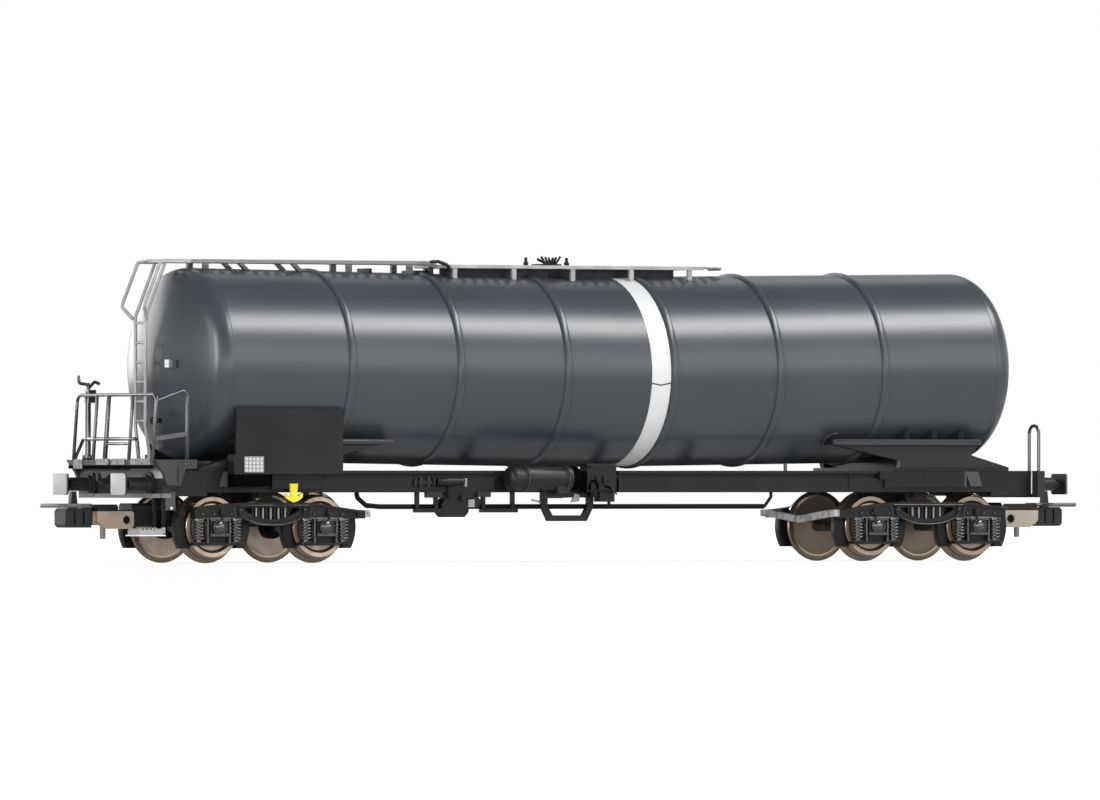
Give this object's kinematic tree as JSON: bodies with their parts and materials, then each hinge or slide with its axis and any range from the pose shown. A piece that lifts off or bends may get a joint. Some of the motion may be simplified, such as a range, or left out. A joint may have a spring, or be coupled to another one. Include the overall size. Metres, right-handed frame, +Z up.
{
  "type": "scale model railway tank car",
  "caption": "Scale model of a bogie tank car: lying tank with dished heads on saddles and a sill frame, end platform, ladder, roof walkways, swivelling bogies, wheelsets and loop couplers.",
  "frame": {"origin": "middle of the car's length and width, at the lowest points of the wheel flanges", "axes": "+X along the car away from the end platform, -Y the side with the brake gear, +Z up"},
  "size_m": [0.2026, 0.0334, 0.052],
  "materials": {
    "tank": "dark blue-grey satin paint with a white band",
    "frame": "near-black moulded plastic",
    "gear": "near-black moulded plastic",
    "bogie": "near-black moulded plastic",
    "end_beam": "grey, catching the light",
    "rail_dark": "dark grey moulded plastic",
    "walkway_grey": "silver-grey paint",
    "bright_metal": "bright plated metal",
    "wheel": "burnished brown metal",
    "axle": "turned steel",
    "coupler_metal": "darkened metal",
    "hook_yellow": "yellow paint"
  },
  "bodies": {
    "wagon": {"tank_barrel": "tank", "tank_head_a": "tank", "tank_head_b": "tank", "saddle_a": "frame", "saddle_b": "frame", "side_sill_near": "frame", "side_sill_far": "frame", "headstock_a": "frame", "headstock_b": "frame", "buffers_a": "bright_metal", "buffers_b": "bright_metal", "bolster_a": "frame", "bolster_b": "frame", "centre_sill": "frame", "cross_members": "frame", "draw_box_a": "frame", "draw_box_b": "frame", "air_reservoir": "gear", "outlet_box": "gear", "outlet_guard": "gear", "brake_valve": "gear", "foot_rails": "gear", "brake_rods": "gear", "end_platform": "rail_dark", "platform_railing": "rail_dark", "brake_column": "rail_dark", "ladder": "walkway_grey", "ladder_hoops": "walkway_grey", "roof_walkway": "walkway_grey", "centre_platform": "walkway_grey", "hatch": "gear", "vent_posts": "gear", "side_boards": "gear", "lashing_hooks": "hook_yellow", "corner_steps": "walkway_grey", "grab_loops": "rail_dark"},
    "bogie_a": {"bogie_frame_a": "bogie", "springs_a": "bogie", "brake_shoes_a": "bogie", "bogie_end_beam_a": "end_beam"},
    "wheelset_a1": {"wheels_a1": "wheel", "axle_a1": "axle"},
    "wheelset_a2": {"wheels_a2": "wheel", "axle_a2": "axle"},
    "coupler_a": {"coupler_pocket_a": "gear", "coupler_head_a": "coupler_metal", "coupler_loop_a": "coupler_metal"},
    "bogie_b": {"bogie_frame_b": "bogie", "springs_b": "bogie", "brake_shoes_b": "bogie", "bogie_end_beam_b": "end_beam"},
    "wheelset_b1": {"wheels_b1": "wheel", "axle_b1": "axle"},
    "wheelset_b2": {"wheels_b2": "wheel", "axle_b2": "axle"},
    "coupler_b": {"coupler_pocket_b": "gear", "coupler_head_b": "coupler_metal", "coupler_loop_b": "coupler_metal"}
  },
  "joints": [
    {"name": "bogie_a_swivel", "type": "hinge", "parent": "wagon", "child": "bogie_a", "pos_m": [-0.06525, 0, 0.0087], "axis": [0, 0, 1], "range_deg": [-11, 11]},
    {"name": "wheelset_a1_roll", "type": "hinge", "parent": "bogie_a", "child": "wheelset_a1", "pos_m": [-0.0756, 0, 0.0061], "axis": [0, 1, 0], "continuous": true},
    {"name": "wheelset_a2_roll", "type": "hinge", "parent": "bogie_a", "child": "wheelset_a2", "pos_m": [-0.0549, 0, 0.0061], "axis": [0, 1, 0], "continuous": true},
    {"name": "coupler_a_swing", "type": "hinge", "parent": "wagon", "child": "coupler_a", "pos_m": [-0.079, 0, 0.00815], "axis": [0, 0, 1], "range_deg": [-10, 10]},
    {"name": "bogie_b_swivel", "type": "hinge", "parent": "wagon", "child": "bogie_b", "pos_m": [0.06525, 0, 0.0087], "axis": [0, 0, 1], "range_deg": [-11, 11]},
    {"name": "wheelset_b1_roll", "type": "hinge", "parent": "bogie_b", "child": "wheelset_b1", "pos_m": [0.0549, 0, 0.0061], "axis": [0, 1, 0], "continuous": true},
    {"name": "wheelset_b2_roll", "type": "hinge", "parent": "bogie_b", "child": "wheelset_b2", "pos_m": [0.0756, 0, 0.0061], "axis": [0, 1, 0], "continuous": true},
    {"name": "coupler_b_swing", "type": "hinge", "parent": "wagon", "child": "coupler_b", "pos_m": [0.079, 0, 0.00815], "axis": [0, 0, 1], "range_deg": [-10, 10]}
  ]
}
